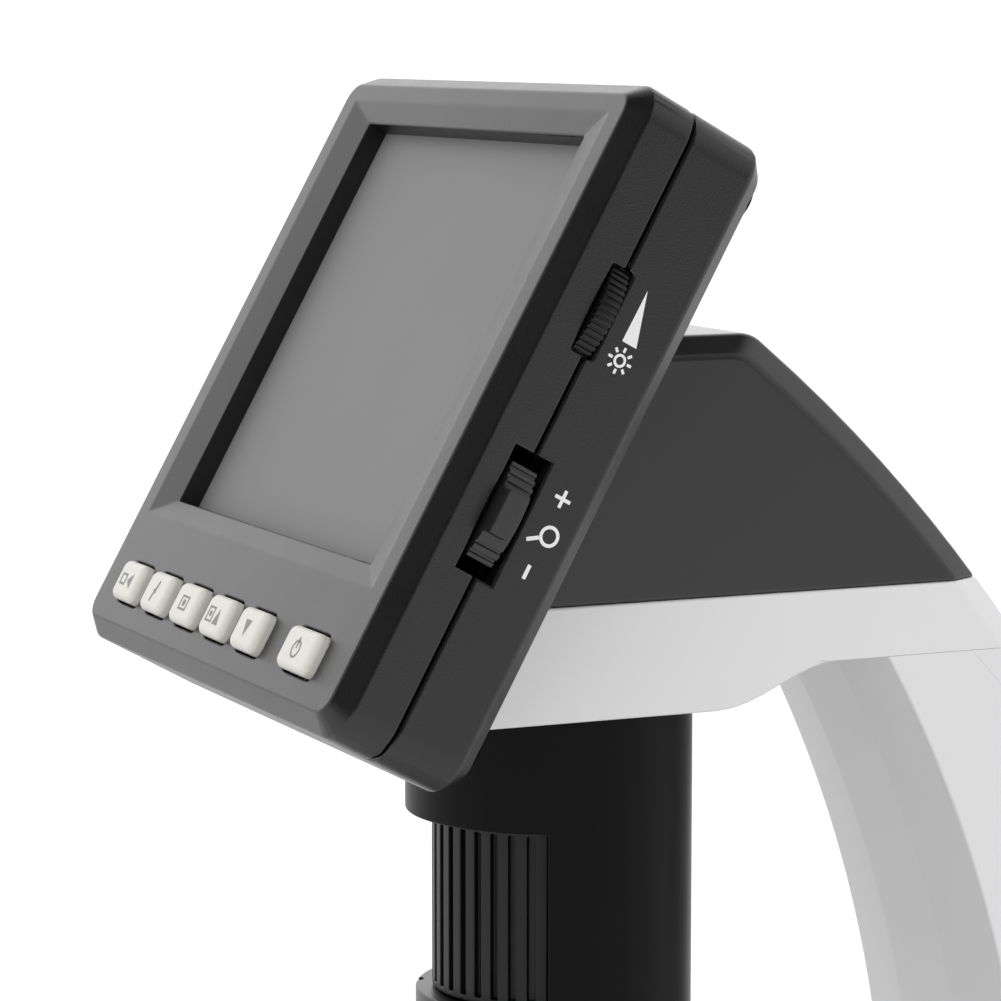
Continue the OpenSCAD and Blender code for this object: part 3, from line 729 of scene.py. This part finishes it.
# The right side, seen from the right: x runs to the back and y up along the face
halfWidth = display["wide"] / 2 * mm
onSide = onDisplay @ Matrix(((0, 0, 1, halfWidth), (0, 1, 0, 0), (-1, 0, 0, 0), (0, 0, 0, 1)))
wedge = {"x": 13.7, "y": 11.5, "width": 2.2, "height": 7.0, "lean": -1.0}
sun = {"x": 13.5, "y": 5.7, "radius": 0.87, "width": 0.34}
rays = {"number": 8, "from": 1.12, "to": 1.75, "width": 0.36}
plus = {"x": 14.9, "y": -12.75, "stroke": 0.46, "tall": 2.3, "arm": 0.92, "armAt": 0.69}
minus = {"x": 14.85, "y": -22.75, "width": 0.52, "height": 1.9}
glass = {"x": 15.5, "y": -17.6, "radius": 1.38, "width": 0.44}
handle = {"x": 13.55, "y": -18.75, "width": 1.7, "height": 0.5, "turn": 32}


def sidePrint(name, strokes):
    symbol(name, strokes, onSide, "display", whitePrint)


sidePrint("wedgePrint", [triangle(**wedge)])
sunStrokes = [ring(**sun)]
out = (rays["from"] + rays["to"]) / 2
for i in range(rays["number"]):
    turn = 360 * i / rays["number"]
    x = sun["x"] + out * math.cos(math.radians(turn))
    y = sun["y"] + out * math.sin(math.radians(turn))
    sunStrokes.append(bar(x, y, rays["to"] - rays["from"], rays["width"], turn))
sidePrint("sunPrint", sunStrokes)

plusStrokes = [bar(plus["x"], plus["y"], plus["stroke"], plus["tall"])]
plusStrokes += [
    bar(plus["x"] + side * plus["armAt"], plus["y"], plus["arm"], plus["stroke"]) for side in (-1, 1)
]
sidePrint("plusPrint", plusStrokes)
sidePrint("minusPrint", [bar(**minus)])
sidePrint("magnifierPrint", [ring(**glass), bar(**handle)])


def boxOutline(x, y, width, height, stroke):
    bpy.ops.mesh.primitive_plane_add(size=1, location=(x * mm, y * mm, -ink))
    outline = newest("stroke")
    outline.scale = (width * mm, height * mm, 1)
    bpy.ops.object.transform_apply(location=False, rotation=False, scale=True)
    return raised(outline, stroke)


def keyPrint(name, index, *strokes):
    at = Matrix.Translation((keyPlaces[index] * mm, keys["row"] * mm, keys["proud"] * mm))
    symbol(name, strokes, onDisplay @ at, keyBodies[index], greyPrint)


# Each stroke by its middle, its size and its turn. The width of an outline is its last number.
keyPrint("backPrint", 0, boxOutline(-1.3, 0, 2.0, 1.7, 0.3), triangle(1.1, 0, 2.2, 1.6, turn=90))
keyPrint(
    "lightPrint", 1,
    bar(0.3, 0.8, 0.46, 1.5, turn=-14), bar(0, 0, 0.95, 0.36, turn=-24), bar(-0.3, -0.8, 0.38, 1.5, turn=-14),
)
keyPrint("selectPrint", 2, boxOutline(0, 0, 2.7, 2.1, 0.3), ring(0, 0, 0.5, 0.5, sides=20))
keyPrint(
    "galleryPrint", 3,
    boxOutline(-1.35, 0, 2.2, 2.2, 0.3), ring(-1.35, 0.05, 0.42, 0.42, sides=20),
    triangle(1.25, -0.1, 1.9, 2.2),
)
keyPrint("downPrint", 4, triangle(0, 0, 1.9, 2.3, turn=180))
keyPrint("powerPrint", 5, ring(0, -0.1, 1.25, 0.3), bar(0, 0.75, 0.32, 1.5))
print("symbols printed")


# Places from here on are in metres
view = {"place": (0.46729, -0.23445, 0.21059), "round": 65.7, "down": 7.02, "lens": 136.65, "sensor": 36}
bpy.ops.object.camera_add(
    location=view["place"], rotation=(math.radians(90 - view["down"]), 0, math.radians(view["round"]))
)
camera = bpy.context.object
camera.data.lens = view["lens"]
camera.data.sensor_width = view["sensor"]
bpy.context.scene.camera = camera

light = {"room": 0.93, "watts": 2.2, "size": 0.9, "at": (0.9, -0.7, 1.2), "towards": (0, 0, 0.1)}
# The unlit end of the studio, which only reflections show: behind the camera and straight above
unlit = {
    "towards": (0.905, -0.408, 0.122), "edge": 0.30, "full": 0.74,
    "lowest": 0.57, "overhead": 0.87, "depth": 0.93,
}

# A bright panel to the left of the display, which only reflections show
panel = {"towards": (-0.95, -0.05, 0.30), "edge": 0.6, "full": 0.92, "gain": 0.78}


def rayKinds(finish, *kinds):  # 1 for the kinds of ray that are named, and 0 for every other
    paths = finish.tree.nodes.new("ShaderNodeLightPath")
    found = [Wire(finish.tree, paths.outputs[f"Is {kind} Ray"]) for kind in kinds]
    whole = found[0]
    for more in found[1:]:
        whole = whole.sum("MAXIMUM", whole, more)
    return whole


def rising(finish, value, low, high):
    return finish.node("ShaderNodeMapRange", {0: value, 1: low, 2: high}, interpolation_type="SMOOTHSTEP")


room = bpy.data.worlds.new("studio")
bpy.context.scene.world = room
room.cycles.sampling_method = "NONE"
air = Finish(room)
seen = rayKinds(air, "Camera", "Glossy", "Transmission")
way = air.node("ShaderNodeTexCoord")
upward = air.node("ShaderNodeSeparateXYZ", {0: way}, out=socketOf["upward"])


def facing(towards):  # how nearly a ray goes towards a direction, up to 1
    ends = {0: way, 1: towards}
    return air.node("ShaderNodeVectorMath", ends, out=socketOf["dotProduct"], operation="DOT_PRODUCT")


behind = rising(air, facing(unlit["towards"]), unlit["edge"], unlit["full"])
above = rising(air, upward, unlit["lowest"], unlit["overhead"])
shade = unlit["depth"] * rayKinds(air, "Glossy") * behind.sum("MAXIMUM", behind, above)
toPanel = rising(air, facing(panel["towards"]), panel["edge"], panel["full"])
lift = panel["gain"] * rayKinds(air, "Glossy") * toPanel
glow = air.node(
    "ShaderNodeBackground",
    {"Color": tone(1, 1, 1), "Strength": (light["room"] + (1 - light["room"]) * seen) * (1 - shade) + lift},
)
air.node("ShaderNodeOutputWorld", {"Surface": glow})

bpy.ops.object.light_add(type="AREA", location=light["at"])
lamp = bpy.context.object
lamp.data.size = light["size"]
lamp.data.energy = light["watts"]
lamp.visible_glossy = False
lamp.rotation_euler = (Vector(light["towards"]) - lamp.location).to_track_quat("-Z", "Y").to_euler()

# The floor is matt, and partly glows in what the camera and reflections see
pale = {"size": 40, "drop": 0.02 * mm, "tone": (0.86, 0.86, 0.86), "glow": 1.3, "share": 0.6}
bpy.ops.mesh.primitive_plane_add(size=pale["size"], location=(0, 0, -pale["drop"]))
floor = newest("floor")
ground = newFinish("paleFloor")
seen = rayKinds(ground, "Camera", "Glossy", "Transmission")
matt = ground.node("ShaderNodeBsdfDiffuse", {"Color": tone(*pale["tone"])})
white = ground.node("ShaderNodeEmission", {"Color": tone(1, 1, 1), "Strength": pale["glow"]})
blend = ground.node("ShaderNodeMixShader", {0: pale["share"] * seen, 1: matt, 2: white})
ground.node("ShaderNodeOutputMaterial", {"Surface": blend})
floor.data.materials.append(ground.holder)

bpy.context.scene.view_settings.view_transform = "Standard"
print("camera, light and floor set")
